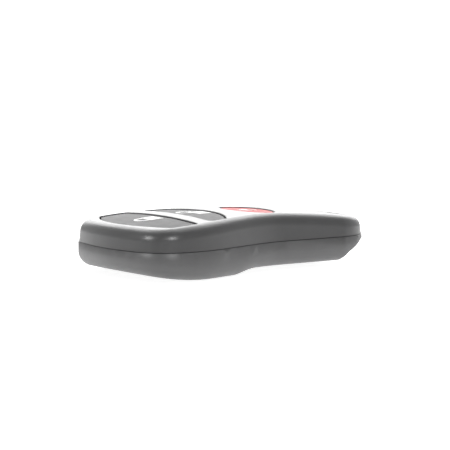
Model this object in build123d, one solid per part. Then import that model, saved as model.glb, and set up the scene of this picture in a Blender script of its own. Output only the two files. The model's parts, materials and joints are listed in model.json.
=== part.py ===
from build123d import *
import math
import os

# A three button remote key fob in millimetres.
# While it is drawn, x runs from the head end to the tail, y is across and z is up
# from the table. At the end every piece moves back by half the length, so that the
# origin lies under the middle of the case.

# Overall case
length = 64.0
head_width = 35.0
waist_width = 21.8
widest_share = 0.3229
waist_share = 0.6125
head_end_radius = 44.7
head_corner_radius = 7.7
side_radius = 57.5
tail_corner_radius = 5.9
tail_end_excess = 0.1
seam_height = 6.25
crown_height = 6.35
crown_apex_share = 0.433
crown_tail_drop = 3.0

# Case shells
side_wall = 1.5
roof_wall = 1.5
floor_wall = 1.2
seam_gap = 0.12
seam_ledge = 0.18
side_draft = 5.5
rim_rounding = 2.8
belly_rounding = 3.2
cavity_rounding = 0.8
floor_step = 0.8
belly_start_share = 0.2656
belly_end_share = 0.383
waist_rise_share = 0.5
rise_start_share = 0.2
rise_end_share = 0.45
waist_rise = 0.9
head_rise = 2.1
tail_rise = 1.05
scallop_length = 9.9
scallop_step_length = 1.7
scallop_step_height = 1.95
scallop_tail_gap = 0.7
scallop_slope_length = 4.8
scallop_slope_height = 2.35
scallop_rounding = 0.8
lip_height = 0.8
lip_thickness = 0.6
lip_clearance = 0.1
overrun = 5.0
same_point = 0.001
sharp_turn = 0.1
steep_share = 0.5
bow_share = 1 / 3

# Button openings
rim_inset = 3.2
lock_head_inset = 3.3
lock_head_radius = 24.0
bridge_share = 0.232
bridge_width = 3.55
bridge_radius = 267.0
unlock_tail_share = 0.414
unlock_tail_radius = 22.0
panic_share = 0.5656
panic_length = 9.6
panic_side_gap = 0.3
opening_corner = 0.9
opening_rounding = 0.3

# Buttons
button_gap = 0.3
button_sink = 0.22
button_rounding = 0.2
flange_reach = 0.7
flange_clearance = 0.1
stem_radius = 1.2
symbol_depth = 0.15
symbol_proud = 0.03

# Key ring slot
slot_width = 9.0
slot_length = 4.6
slot_tail_margin = 3.6
slot_wall = 1.2

# Coin cell and its contacts
cell_diameter = 20.0
cell_thickness = 2.5
cell_head_gap = 6.3
cell_floor_clearance = 0.85
cell_shelf_width = 1.6
cell_rim_width = 1.2
cell_gasket_width = 0.5
cell_cap_depth = 0.6
cell_cap_proud = 0.1
cell_edge_rounding = 0.25
cell_seat_clearance = 0.25
cell_seat_wall = 1.0
cell_seat_height = 1.9
cell_to_board = 0.5
contact_strip = 0.2
contact_width = 5.0
contact_foot = 2.2
contact_reach = 2.6
contact_clearance = 0.05

# Circuit board
board_thickness = 0.8
board_clearance = 0.4
post_radius = 1.1
pin_radius = 0.6
pin_rise = 0.35
pin_clearance = 0.1
post_inset = 4.2
head_post_share = 0.128
belly_post_share = 0.431
tail_post_share = 0.634

# Push switches under the buttons
switch_width = 4.5
switch_base_height = 1.1
switch_pocket_radius = 1.35
switch_pocket_depth = 0.85
switch_cover_thickness = 0.15
switch_cover_tab = 0.6
switch_cover_hole = 0.95
plunger_radius = 0.8
plunger_collar_radius = 1.15
plunger_collar_height = 0.35
plunger_proud = 0.35
leg_width = 0.6
leg_reach = 0.8
leg_thickness = 0.15
disc_radius = 1.3
disc_thickness = 0.1
disc_rise = 0.4

# Rubber keypad mat
mat_thickness = 0.6
mat_skirt = 0.8
mat_clearance = 0.5
mat_lift = 0.1
mat_hole_radius = 2.0
dome_base_radius = 2.4
dome_top_radius = 1.75
dome_wall = 0.3
dome_height = 0.8
stem_to_plunger = 0.05

# Tail screw
screw_thread_radius = 0.95
screw_hole_clearance = 0.08
screw_head_radius = 1.8
screw_head_height = 1.2
screw_head_rounding = 0.4
screw_head_clearance = 0.15
screw_length = 5.0
screw_recess_depth = 0.6
screw_recess_width = 0.45
screw_recess_length = 2.0
screw_sink = 0.3
boss_wall = 1.25
boss_to_slot = 0.8

# Parts on the circuit board: length, width and height of each
chip_size = (4.6, 4.6, 0.9)
chip_leg_size = (0.25, 0.6, 0.15)
chip_leg_pitch = 0.65
crystal_size = (3.2, 2.5, 0.8)
resonator_size = (3.0, 3.0, 1.0)
transistor_size = (2.9, 1.3, 1.0)
coil_size = (1.3, 2.2, 1.1)
capacitor_size = (1.6, 0.8, 0.8)
resistor_size = (1.6, 0.8, 0.45)
part_clearance = 0.6
antenna_track = 0.8
antenna_thickness = 0.1
antenna_inset = 0.3

# Symbols printed on the buttons
lock_shift = 1.6
unlock_shift = 0.3
lock_body_length = 3.1
lock_body_width = 4.4
shackle_radius = 1.5
shackle_thickness = 0.72
shackle_straight = 0.85
unlock_swing = 2.3
horn_mouth = 3.0
horn_throat = 1.3
horn_length = 1.7
horn_box_length = 0.9
horn_wave_radius = 1.5
horn_wave_thickness = 0.45
horn_wave_angle = 70.0

widest_x = head_width * widest_share
waist_x = length * waist_share
belly_start_x = length * belly_start_share
belly_end_x = length * belly_end_share
waist_rise_x = length * waist_rise_share
scallop_x = length - scallop_length
bridge_x = length * bridge_share
unlock_tail_x = length * unlock_tail_share
panic_x = length * panic_share
head_post_x = length * head_post_share
belly_post_x = length * belly_post_share
tail_post_x = length * tail_post_share
cell_x = cell_head_gap + cell_diameter / 2
cell_cap_diameter = cell_diameter - 2 * cell_rim_width

crown_apex_x = length * crown_apex_share
crown_reach = length - crown_apex_x
crown_radius = (crown_reach**2 + crown_tail_drop**2) / (2 * crown_tail_drop)

half_width = head_width / 2
half_waist = waist_width / 2
tail_end_radius = half_waist + tail_end_excess
crown_centre_z = seam_height + crown_height - crown_radius
cavity_inset = side_wall + lip_clearance

cell_floor_z = floor_wall + cell_floor_clearance
cell_cap_top_z = cell_floor_z + cell_thickness
board_bottom_z = cell_cap_top_z + cell_to_board
board_top_z = board_bottom_z + board_thickness
switch_top_z = board_top_z + switch_base_height + switch_cover_thickness
plunger_top_z = switch_top_z + plunger_proud
mat_bottom_z = plunger_top_z + mat_lift
mat_top_z = mat_bottom_z + mat_thickness
button_under_z = mat_top_z + dome_height
stem_bottom_z = plunger_top_z + stem_to_plunger

board_inset = side_wall + board_clearance
mat_inset = cavity_inset + mat_clearance
lip_inset = side_wall - lip_thickness

slot_x = length - slot_tail_margin - slot_length / 2
boss_radius = screw_head_radius + screw_head_clearance + boss_wall
boss_x = slot_x - slot_length / 2 - slot_wall - boss_to_slot - boss_radius
board_end_x = boss_x - boss_radius - board_clearance
panic_width = waist_width - 2 * rim_inset + 2 * panic_side_gap

lock_x = (lock_head_inset + bridge_x) / 2
unlock_x = (bridge_x + bridge_width + unlock_tail_x) / 2


def arc_about(centre, start, finish):
    """The shorter arc from start to finish about a centre."""
    radius = (start - centre).length
    middle = centre + ((start - centre).normalized() + (finish - centre).normalized()).normalized() * radius
    return ThreePointArc(start, middle, finish)


def head_corner_centre():
    """Centre of a head corner arc, which touches the end arc and the side arc."""
    end_centre = Vector(head_end_radius, 0)
    side_centre = Vector(widest_x, half_width - side_radius)
    end_reach = head_end_radius - head_corner_radius
    side_reach = side_radius - head_corner_radius
    apart = side_centre - end_centre
    gap = apart.length
    along = (end_reach**2 - side_reach**2 + gap**2) / (2 * gap)
    off = math.sqrt(end_reach**2 - along**2)
    unit = apart.normalized()
    normal = Vector(-unit.Y, unit.X)
    foot = end_centre + unit * along
    return max((foot + normal * off, foot - normal * off), key=lambda point: point.Y)


def case_outline(inset):
    """Plan outline of the case, drawn inwards by an inset, as one face at z = 0."""
    end_centre = Vector(head_end_radius, 0)
    side_centre = Vector(widest_x, half_width - side_radius)
    corner = head_corner_centre()
    end_point = end_centre + (corner - end_centre).normalized() * (head_end_radius - inset)
    side_point = side_centre + (corner - side_centre).normalized() * (side_radius - inset)
    widest = Vector(widest_x, half_width - inset)
    waist = Vector(waist_x, half_waist - inset)
    sweep = Vector((waist_x - widest_x) * bow_share, 0)
    tail_centre = Vector(length - tail_end_radius, 0)
    corner_y = half_waist - tail_corner_radius
    corner_x = math.sqrt((tail_end_radius - tail_corner_radius) ** 2 - corner_y**2)
    tail_corner = tail_centre + Vector(corner_x, corner_y)
    flank_end = tail_corner + Vector(0, tail_corner_radius - inset)
    tail_point = tail_centre + (tail_corner - tail_centre).normalized() * (tail_end_radius - inset)
    upper = [
        arc_about(corner, end_point, side_point),
        arc_about(side_centre, side_point, widest),
        Bezier(widest, widest + sweep, waist - sweep, waist),
        Line(waist, flank_end),
        arc_about(tail_corner, flank_end, tail_point),
    ]
    lower = [edge.mirror(Plane.XZ) for edge in upper]
    head_end = ThreePointArc(mirrored(end_point), Vector(inset, 0), end_point)
    tail_end = ThreePointArc(tail_point, Vector(length - inset, 0), mirrored(tail_point))
    return make_face(upper + lower + [head_end, tail_end])


def mirrored(point):
    """The same point on the other side of the case's middle line."""
    return Vector(point.X, -point.Y)


def prism(face, bottom, top):
    """A face drawn at z = 0, extruded from one height to another."""
    return extrude(Pos(0, 0, bottom) * face, amount=top - bottom, dir=(0, 0, 1))


def under_crown(depth):
    """All that lies under the crowned roof surface, sunk by a depth."""
    ball = Rot(90, 0, 0) * Sphere(crown_radius - depth)
    return Pos(crown_apex_x, 0, crown_centre_z) * ball


def crown_z(x, y, depth):
    """Height of the roof surface, sunk by a depth, over a place in plan."""
    reach = crown_radius - depth
    return crown_centre_z + math.sqrt(reach**2 - (x - crown_apex_x) ** 2 - y**2)


def sharp_corners(face):
    """The vertices of a face at which its outline turns sharply."""
    corners = []
    for vertex in face.vertices():
        place = Vector(vertex.X, vertex.Y, vertex.Z)
        tangents = [edge % 0 for edge in face.edges() if (edge @ 0 - place).length < same_point]
        tangents += [edge % 1 for edge in face.edges() if (edge @ 1 - place).length < same_point]
        if tangents[0].cross(tangents[-1]).length > sharp_turn:
            corners.append(vertex)
    return corners


def rounded(face, radius):
    """A face with its sharp corners rounded."""
    return fillet(sharp_corners(face), radius=radius)


def lock_outline(inset):
    """Opening of the lock button, drawn inwards by an inset."""
    head_disc = Pos(lock_head_inset + lock_head_radius, 0) * Circle(lock_head_radius - inset)
    bridge_disc = Pos(bridge_x - bridge_radius, 0) * Circle(bridge_radius - inset)
    return rounded(case_outline(rim_inset + inset) & head_disc & bridge_disc, opening_corner)


def unlock_outline(inset):
    """Opening of the unlock button, drawn inwards by an inset."""
    tail_disc = Pos(unlock_tail_x - unlock_tail_radius, 0) * Circle(unlock_tail_radius - inset)
    far_side = bridge_x + bridge_width
    bridge_disc = Pos(far_side - bridge_radius, 0) * Circle(bridge_radius + inset)
    return rounded((case_outline(rim_inset + inset) & tail_disc) - bridge_disc, opening_corner)


def panic_outline(inset):
    """Opening of the panic button, drawn inwards by an inset."""
    return Pos(panic_x, 0) * Ellipse(panic_length / 2 - inset, panic_width / 2 - inset)


buttons = {
    "lock": (lock_outline, lock_x),
    "unlock": (unlock_outline, unlock_x),
    "panic": (panic_outline, panic_x),
}


def slot_outline(grow):
    """Plan outline of the key ring slot, grown by a distance."""
    return Pos(slot_x, 0) * Rot(0, 0, 90) * SlotOverall(slot_width + 2 * grow, slot_length + 2 * grow)


def half_width_at(x):
    """Half the width of the case at a place along its sides."""
    if x < widest_x:
        return half_width - side_radius + math.sqrt(side_radius**2 - (widest_x - x) ** 2)
    if x < waist_x:
        share = (x - widest_x) / (waist_x - widest_x)
        return half_width + (half_waist - half_width) * share**2 * (3 - 2 * share)
    return half_waist


def belly_profile(lift):
    """Side profile of the lower half above its underside, lifted by a distance."""
    arc_radius = (belly_start_x**2 + head_rise**2) / (2 * head_rise)
    head_x = -overrun
    head_z = arc_radius - math.sqrt(arc_radius**2 - (belly_start_x - head_x) ** 2)
    mid_x = belly_start_x / 2
    mid_z = arc_radius - math.sqrt(arc_radius**2 - (belly_start_x - mid_x) ** 2)
    rise_length = waist_rise_x - belly_end_x
    tail_x = length + overrun
    top = seam_height + overrun
    edges = [
        ThreePointArc((head_x, 0, head_z), (mid_x, 0, mid_z), (belly_start_x, 0, 0)),
        Line((belly_start_x, 0, 0), (belly_end_x, 0, 0)),
        Bezier(
            (belly_end_x, 0, 0),
            (belly_end_x + rise_length * rise_start_share, 0, 0),
            (waist_rise_x - rise_length * rise_end_share, 0, waist_rise),
            (waist_rise_x, 0, waist_rise),
        ),
        Line((waist_rise_x, 0, waist_rise), (tail_x, 0, tail_rise)),
        Line((tail_x, 0, tail_rise), (tail_x, 0, top)),
        Line((tail_x, 0, top), (head_x, 0, top)),
        Line((head_x, 0, top), (head_x, 0, head_z)),
    ]
    return Pos(0, 0, lift) * Face(Wire(edges))


def belly(lift):
    """All that lies above the underside of the case, lifted by a distance."""
    return extrude(belly_profile(lift), amount=head_width, dir=(0, 1, 0), both=True)


def runs_across(edge):
    """Whether an edge is a straight line across the case."""
    return edge.geom_type == GeomType.LINE and abs(edge.tangent_at(0.5).Y) > abs(edge.tangent_at(0.5).X)


def lower_blank():
    """The lower half of the case as one rounded solid, before it is hollowed."""
    blank = prism(case_outline(-seam_ledge), 0, seam_height) & belly(0)
    low_edges = [edge for edge in blank.edges() if edge.center().Z < seam_height / 2]
    blank = fillet([edge for edge in low_edges if not runs_across(edge)], radius=belly_rounding)
    return blank - tail_scallop()


def tail_scallop():
    """The hollow under the tail, which leaves room for a ring through the slot."""
    low_x = scallop_x
    step_x = low_x + scallop_step_length
    step_z = tail_rise + scallop_step_height
    slope_x = step_x + scallop_slope_length
    slope_z = step_z + scallop_slope_height
    tail_x = length + overrun
    points = [
        (low_x - scallop_step_length, 0, tail_rise - scallop_step_height),
        (step_x, 0, step_z),
        (slope_x, 0, slope_z),
        (tail_x, 0, seam_height - scallop_tail_gap),
        (tail_x, 0, tail_rise - scallop_step_height),
    ]
    hollow = extrude(Face(Wire.make_polygon(points)), amount=head_width, dir=(0, 1, 0), both=True)
    bends = [edge for edge in hollow.edges() if runs_across(edge) and edge.center().Z > step_z - same_point]
    bends = [edge for edge in bends if edge.center().X < length]
    return fillet(bends, radius=scallop_rounding)


def headward_of(x):
    """A block that holds all of the case on the head side of a place."""
    block = Box(length, 2 * head_width, 2 * length)
    return Pos(x - length / 2, 0, 0) * block


def upper_blank():
    """The upper half of the case as one rounded solid, before it is hollowed."""
    low_z = seam_height + seam_gap
    high_z = seam_height + crown_height + overrun
    lean = (high_z - low_z) * math.tan(math.radians(side_draft))
    low_face = Pos(0, 0, low_z) * case_outline(0)
    high_face = Pos(0, 0, high_z) * case_outline(lean)
    blank = loft([low_face, high_face], ruled=True) & under_crown(0)
    rim_edges = [edge for edge in blank.edges() if edge.center().Z > seam_height + crown_height / 2]
    rim_edges = [edge for edge in rim_edges if abs(edge.tangent_at(0.5).Z) < steep_share]
    return fillet(rim_edges, radius=rim_rounding)


def screw_boss(radius, bottom, top):
    """A round pillar on the screw's axis."""
    return Pos(boss_x, 0, (bottom + top) / 2) * Cylinder(radius, top - bottom)


def board_posts(radius, bottom, top):
    """Pillars of one radius at the six places that carry the circuit board."""
    posts = []
    for x in (head_post_x, belly_post_x, tail_post_x):
        y = half_width_at(x) - post_inset
        for side in (-1, 1):
            posts.append(Pos(x, side * y, (bottom + top) / 2) * Cylinder(radius, top - bottom))
    return posts


def lower_cavity():
    """The hollow of the lower shell, stepped in at a floor that follows the underside."""
    end_x = slot_x - slot_length / 2 - slot_wall
    high_z = seam_height + overrun / 2
    wide = prism(case_outline(side_wall), 0, high_z) & belly(floor_wall + floor_step)
    deep = prism(case_outline(side_wall + floor_step), 0, high_z) & belly(floor_wall)
    return (wide + deep) & headward_of(end_x)


def cell_seat():
    """The ring and shelf on the lower floor that hold the coin cell, open at the side contact."""
    inner = cell_diameter / 2 + cell_seat_clearance
    low_z = floor_wall / 2
    top_z = cell_floor_z + cell_seat_height
    shelf = Pos(0, 0, (low_z + cell_floor_z) / 2) * Cylinder(inner, cell_floor_z - low_z)
    shelf = shelf - Cylinder(inner - cell_shelf_width, 2 * length)
    height = top_z - low_z
    ring = Pos(0, 0, low_z + height / 2) * (Cylinder(inner + cell_seat_wall, height) - Cylinder(inner, height))
    gap_width = contact_width + 2 * cell_seat_wall
    gap = Pos(inner, 0, low_z + height / 2) * Box(4 * cell_seat_wall, gap_width, height)
    return (Pos(cell_x, 0, 0) * (ring + shelf - gap)) & prism(case_outline(side_wall), 0, length) & belly(low_z)


def sealing_lip():
    """The raised lip of the lower shell that fits inside the upper shell."""
    top = seam_height + lip_height
    ring = case_outline(lip_inset) - case_outline(side_wall)
    return prism(ring, seam_height - lip_height, top)


def bottom_shell():
    """Lower shell with cell seat, board posts, screw boss, slot and sealing lip."""
    head_top = tail_rise + screw_sink + screw_head_height
    shell = lower_blank() - lower_cavity()
    shell = shell + cell_seat() + sealing_lip()
    shell = shell + screw_boss(boss_radius, waist_rise + floor_wall / 2, seam_height)
    for post in board_posts(post_radius, 0, board_bottom_z):
        shell = shell + (post & belly(floor_wall / 2))
    for pin in board_posts(pin_radius, floor_wall, board_top_z + pin_rise):
        shell = shell + (pin & belly(floor_wall / 2))
    shell = shell - screw_boss(screw_head_radius + screw_head_clearance, -overrun, head_top)
    shell = shell - screw_boss(screw_thread_radius + screw_hole_clearance, -overrun, length)
    shell = shell - prism(slot_outline(0), -overrun, length)
    return shell


def upper_cavity():
    """The hollow of the upper shell, under its crowned roof."""
    end_x = slot_x - slot_length / 2 - slot_wall
    hollow = prism(case_outline(cavity_inset), seam_height, seam_height + length / 2)
    hollow = hollow & under_crown(roof_wall)
    roof_edges = [edge for edge in hollow.edges() if edge.center().Z > seam_height + lip_height]
    roof_edges = [edge for edge in roof_edges if abs(edge.tangent_at(0.5).Z) < steep_share]
    return fillet(roof_edges, radius=cavity_rounding) & headward_of(end_x)


def opening_edges(shell, outlines):
    """Edges where the button openings meet the crowned roof."""
    found = []
    for edge in shell.edges():
        middle = edge @ 0.5
        if abs(middle.Z - crown_z(middle.X, middle.Y, 0)) > opening_rounding / 10:
            continue
        foot = Vertex(middle.X, middle.Y, 0)
        if min(outline.wire().distance_to(foot) for outline in outlines) < opening_rounding / 10:
            found.append(edge)
    return found


def top_shell():
    """Upper shell with its button openings, screw boss, slot and groove for the lip."""
    high_z = seam_height + crown_height + overrun
    outlines = [outline(0) for outline, place in buttons.values()]
    outlines.append(slot_outline(0))
    shell = upper_blank() - upper_cavity()
    boss = screw_boss(screw_thread_radius + screw_hole_clearance + boss_wall, seam_height + seam_gap, high_z)
    shell = shell + (boss & under_crown(roof_wall / 2))
    for outline in outlines:
        shell = shell - prism(outline, 0, high_z)
    shell = fillet(opening_edges(shell, outlines), radius=opening_rounding)
    groove = case_outline(lip_inset - lip_clearance) - case_outline(cavity_inset + lip_clearance)
    shell = shell - prism(groove, 0, seam_height + lip_height + lip_clearance)
    screw_hole_top = tail_rise + screw_sink + screw_head_height + screw_length + screw_sink
    shell = shell - screw_boss(screw_thread_radius + screw_hole_clearance, 0, screw_hole_top)
    return shell


def shackle():
    """The bow of a padlock symbol, which points to the head end from x = 0."""
    outer = shackle_radius + shackle_thickness / 2
    inner = shackle_radius - shackle_thickness / 2
    turn = Pos(-shackle_straight, 0)
    legs = Pos(-shackle_straight / 2, 0)
    bow = turn * Circle(outer) + legs * Rectangle(shackle_straight, 2 * outer)
    hole = turn * Circle(inner) + legs * Rectangle(shackle_straight, 2 * inner)
    return bow - hole


def lock_symbol_face():
    """A closed padlock."""
    body = Pos(lock_body_length / 2, 0) * Rectangle(lock_body_length, lock_body_width)
    return body + shackle()


def unlock_symbol_face():
    """A padlock whose bow has swung to one side."""
    body = Pos(lock_body_length / 2, 0) * Rectangle(lock_body_length, lock_body_width)
    return body + Pos(0, unlock_swing) * shackle()


def horn_symbol_face():
    """A horn with one sound wave."""
    box = Pos(-horn_box_length / 2, 0) * Rectangle(horn_box_length, horn_throat)
    corners = [
        (0, -horn_throat / 2),
        (horn_length, -horn_mouth / 2),
        (horn_length, horn_mouth / 2),
        (0, horn_throat / 2),
    ]
    bell = make_face(Polyline(*corners, close=True))
    band = Circle(horn_wave_radius + horn_wave_thickness / 2) - Circle(horn_wave_radius - horn_wave_thickness / 2)
    reach = 2 * horn_wave_radius
    half_angle = math.radians(horn_wave_angle / 2)
    wedge = make_face(
        Polyline((0, 0), (reach, -reach * math.tan(half_angle)), (reach, reach * math.tan(half_angle)), close=True)
    )
    return box + bell + Pos(horn_length, 0) * (band & wedge)


symbols = {
    "lock": (lock_symbol_face, lock_x + lock_shift),
    "unlock": (unlock_symbol_face, unlock_x + unlock_shift),
    "panic": (horn_symbol_face, panic_x),
}


def symbol_prism(name):
    """A button's symbol as a tall prism at its place on the button."""
    draw, symbol_x = symbols[name]
    face = draw()
    middle = face.bounding_box().center()
    return prism(Pos(symbol_x - middle.X, 0) * face, button_under_z, seam_height + crown_height + overrun)


def symbol(name):
    """The inlaid symbol of a button."""
    return symbol_prism(name) & under_crown(button_sink - symbol_proud) - under_crown(button_sink + symbol_depth)


def button(name):
    """A button with its retaining flange, the stem below it and the pocket for its symbol."""
    outline, place = buttons[name]
    high_z = seam_height + crown_height + overrun
    cap = prism(outline(button_gap), button_under_z, high_z) & under_crown(button_sink)
    cap = fillet([edge for edge in cap.edges() if on_crown(edge, button_sink)], radius=button_rounding)
    flange = prism(outline(-flange_reach), button_under_z, high_z) & under_crown(roof_wall + flange_clearance)
    stem_height = button_under_z - stem_bottom_z
    stem = Pos(place, 0, stem_bottom_z + stem_height / 2) * Cylinder(stem_radius, stem_height)
    pocket = symbol_prism(name) - under_crown(button_sink + symbol_depth)
    return cap + flange + stem - pocket


def on_crown(edge, depth):
    """Whether an edge lies on the roof surface sunk by a depth."""
    middle = edge @ 0.5
    return abs(middle.Z - crown_z(middle.X, middle.Y, depth)) < opening_rounding / 10


def keypad_mat():
    """The rubber mat over the board, with a skirt that stands on it."""
    end_x = board_end_x - board_clearance
    outer = prism(case_outline(mat_inset), board_top_z, mat_top_z) & headward_of(end_x)
    inner = prism(case_outline(mat_inset + mat_skirt), board_top_z, mat_bottom_z) & headward_of(end_x - mat_skirt)
    mat = outer - inner
    for outline, place in buttons.values():
        mat = mat - Pos(place, 0, mat_top_z) * Cylinder(mat_hole_radius, 2 * mat_thickness)
    return mat


def dome(place):
    """The thin collapsing web between the mat and a button."""
    low_inner = dome_base_radius - dome_wall
    high_inner = dome_top_radius - dome_wall
    profile = make_face(
        Polyline(
            (low_inner, 0), (dome_base_radius, 0), (dome_top_radius, dome_height), (high_inner, dome_height), close=True
        )
    )
    web = revolve(Plane.XZ * profile, axis=Axis.Z)
    return Pos(place, 0, mat_top_z) * web


def circuit_board():
    """The circuit board, which stands on the posts and is placed by their pins."""
    board = prism(case_outline(board_inset), board_bottom_z, board_top_z) & headward_of(board_end_x)
    for hole in board_posts(pin_radius + pin_clearance, board_bottom_z - overrun, board_top_z + overrun):
        board = board - hole
    return board


def switch_base(place):
    """The housing of a push switch, with the pocket for its plunger."""
    base = Pos(0, 0, switch_base_height / 2) * Box(switch_width, switch_width, switch_base_height)
    pocket_z = switch_base_height - switch_pocket_depth / 2
    pocket = Pos(0, 0, pocket_z) * Cylinder(switch_pocket_radius, switch_pocket_depth)
    return Pos(place, 0, board_top_z) * (base - pocket)


def switch_cover(place):
    """The steel cover of a push switch, with a tab down each long side."""
    plate = Box(switch_width, switch_width, switch_cover_thickness)
    hole = Cylinder(switch_cover_hole, 2 * switch_cover_thickness)
    cover = plate - hole
    tab_drop = (switch_cover_tab + switch_cover_thickness) / 2
    for side in (-1, 1):
        tab = Box(switch_width / 2, switch_cover_thickness, switch_cover_tab)
        tab_y = side * (switch_width + switch_cover_thickness) / 2
        bridge = Box(switch_width / 2, switch_cover_thickness, switch_cover_thickness)
        cover = cover + Pos(0, tab_y, 0) * bridge + Pos(0, tab_y, -tab_drop) * tab
    return Pos(place, 0, board_top_z + switch_base_height + switch_cover_thickness / 2) * cover


def switch_plunger(place):
    """The moving plunger of a push switch, kept in by its collar."""
    collar_top = board_top_z + switch_base_height - contact_clearance
    collar_z = collar_top - plunger_collar_height / 2
    stem_height = plunger_top_z - collar_top
    stem = Pos(place, 0, collar_top + stem_height / 2) * Cylinder(plunger_radius, stem_height)
    return Pos(place, 0, collar_z) * Cylinder(plunger_collar_radius, plunger_collar_height) + stem


def switch_disc(place):
    """The springy snap disc in the bottom of a push switch."""
    reach = (disc_radius**2 + disc_rise**2) / (2 * disc_rise)
    shell = Sphere(reach) - Sphere(reach - disc_thickness)
    keep = Pos(0, 0, reach) * Box(2 * reach, 2 * reach, 2 * disc_rise)
    floor_z = board_top_z + switch_base_height - switch_pocket_depth
    return Pos(place, 0, floor_z + disc_rise - reach) * (shell & keep)


def switch_legs(place):
    """The four soldered legs of a push switch."""
    legs = []
    riser_height = switch_base_height / 2
    for side in (-1, 1):
        for row in (-1, 1):
            y = row * (switch_width / 2 - leg_width)
            foot_x = side * (switch_width + leg_reach) / 2
            riser_x = side * (switch_width + leg_thickness) / 2
            foot = Pos(foot_x, y, leg_thickness / 2) * Box(leg_reach, leg_width, leg_thickness)
            riser = Pos(riser_x, y, riser_height / 2) * Box(leg_thickness, leg_width, riser_height)
            legs.append(Pos(place, 0, board_top_z) * (foot + riser))
    return group(legs)


def group(shapes):
    """Several separate solids as one node."""
    solids = []
    for shape in shapes:
        solids.extend(shape.solids())
    return Compound(children=solids)


def cell_can():
    """The cup of the coin cell, its positive side, facing down."""
    radius = cell_diameter / 2
    can_height = cell_thickness - cell_cap_proud
    can = Cylinder(radius, can_height)
    can = fillet(can.edges(), radius=cell_edge_rounding)
    recess_radius = cell_cap_diameter / 2 + cell_gasket_width
    recess = Pos(0, 0, can_height / 2) * Cylinder(recess_radius, 2 * cell_cap_depth)
    return Pos(cell_x, 0, cell_floor_z + can_height / 2) * (can - recess)


def cell_gasket():
    """The sealing ring between the cell's cup and cap."""
    inner = cell_cap_diameter / 2
    ring = Cylinder(inner + cell_gasket_width, cell_cap_depth) - Cylinder(inner, cell_cap_depth)
    return Pos(cell_x, 0, cell_cap_top_z - cell_cap_proud - cell_cap_depth / 2) * ring


def cell_cap():
    """The cap of the coin cell, its negative side, facing the board."""
    height = cell_cap_depth + cell_cap_proud
    return Pos(cell_x, 0, cell_cap_top_z - height / 2) * Cylinder(cell_cap_diameter / 2, height)


def positive_contact():
    """The strip that touches the side of the cell and is soldered under the board."""
    strip_x = cell_x + cell_diameter / 2 + contact_clearance
    low_z = cell_floor_z + cell_edge_rounding
    strip_height = board_bottom_z - low_z
    strip_place = Pos(strip_x + contact_strip / 2, 0, low_z + strip_height / 2)
    strip = strip_place * Box(contact_strip, contact_width, strip_height)
    foot_x = strip_x + contact_foot / 2
    foot = Pos(foot_x, 0, board_bottom_z - contact_strip / 2) * Box(contact_foot, contact_width, contact_strip)
    return strip + foot


def negative_contact():
    """The spring leaf that is soldered under the board and presses on the cell's cap."""
    high = board_bottom_z
    low = cell_cap_top_z + contact_clearance
    foot_start = cell_x - contact_reach - 2 * contact_foot
    foot_end = foot_start + contact_foot
    tip_start = cell_x - contact_foot / 2
    tip_end = cell_x + contact_foot / 2
    points = [
        (foot_start, 0, high),
        (foot_start, 0, high - contact_strip),
        (foot_end, 0, high - contact_strip),
        (tip_start, 0, low),
        (tip_end, 0, low),
        (tip_end, 0, low + contact_strip),
        (tip_start, 0, low + contact_strip),
        (foot_end, 0, high),
    ]
    return extrude(Face(Wire.make_polygon(points)), amount=contact_width / 2, dir=(0, 1, 0), both=True)


def board_part(size, x, y):
    """A block-shaped electronic part on top of the board."""
    part_length, part_width, part_height = size
    return Pos(x, y, board_top_z + part_height / 2) * Box(part_length, part_width, part_height)


def chip_legs(x):
    """The rows of legs on both sides of the control chip."""
    leg_w, leg_l, leg_t = chip_leg_size
    count = int(chip_size[0] / chip_leg_pitch)
    legs = []
    for index in range(count):
        leg_x = x + (index - (count - 1) / 2) * chip_leg_pitch
        for side in (-1, 1):
            leg_y = side * (chip_size[1] + leg_l) / 2
            legs.append(board_part((leg_w, leg_l, leg_t), leg_x, leg_y))
    return group(legs)


def antenna_loop():
    """The copper aerial track round the tail end of the board, on its underside."""
    outer_inset = board_inset + antenna_inset
    outer = case_outline(outer_inset) - case_outline(outer_inset + antenna_track)
    ring = prism(outer, board_bottom_z - antenna_thickness, board_bottom_z)
    end_x = board_end_x - antenna_inset
    tail_strip = prism(case_outline(outer_inset), board_bottom_z - antenna_thickness, board_bottom_z)
    tail_strip = (tail_strip & headward_of(end_x)) - headward_of(end_x - antenna_track)
    return ((ring & headward_of(end_x)) - headward_of(belly_post_x)) + tail_strip


def case_screw():
    """The small cross head screw that holds the shells together at the tail."""
    head_low = tail_rise + screw_sink
    head = Pos(boss_x, 0, head_low + screw_head_height / 2) * Cylinder(screw_head_radius, screw_head_height)
    low_edge = head.edges().filter_by(GeomType.CIRCLE).sort_by(Axis.Z)[0]
    head = fillet(low_edge, radius=screw_head_rounding)
    shank_low = head_low + screw_head_height
    shank = Pos(boss_x, 0, shank_low + screw_length / 2) * Cylinder(screw_thread_radius, screw_length)
    slot = Box(screw_recess_length, screw_recess_width, 2 * screw_recess_depth)
    cross = Pos(boss_x, 0, head_low) * (slot + Rot(0, 0, 90) * slot)
    return head + shank - cross


chip_x = (unlock_x + panic_x) / 2
gap_x = (lock_x + unlock_x) / 2
chip_side = chip_size[1] / 2 + chip_leg_size[1] + part_clearance
near_row = switch_width / 2 + switch_cover_thickness + part_clearance + capacitor_size[1] / 2
far_row = near_row + capacitor_size[1] / 2 + part_clearance + resistor_size[1] / 2


def chip_capacitors():
    """The small ceramic capacitors beside the switches."""
    places = [(x, side * near_row) for x in (lock_x, unlock_x) for side in (-1, 1)]
    return group([board_part(capacitor_size, x, y) for x, y in places])


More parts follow.
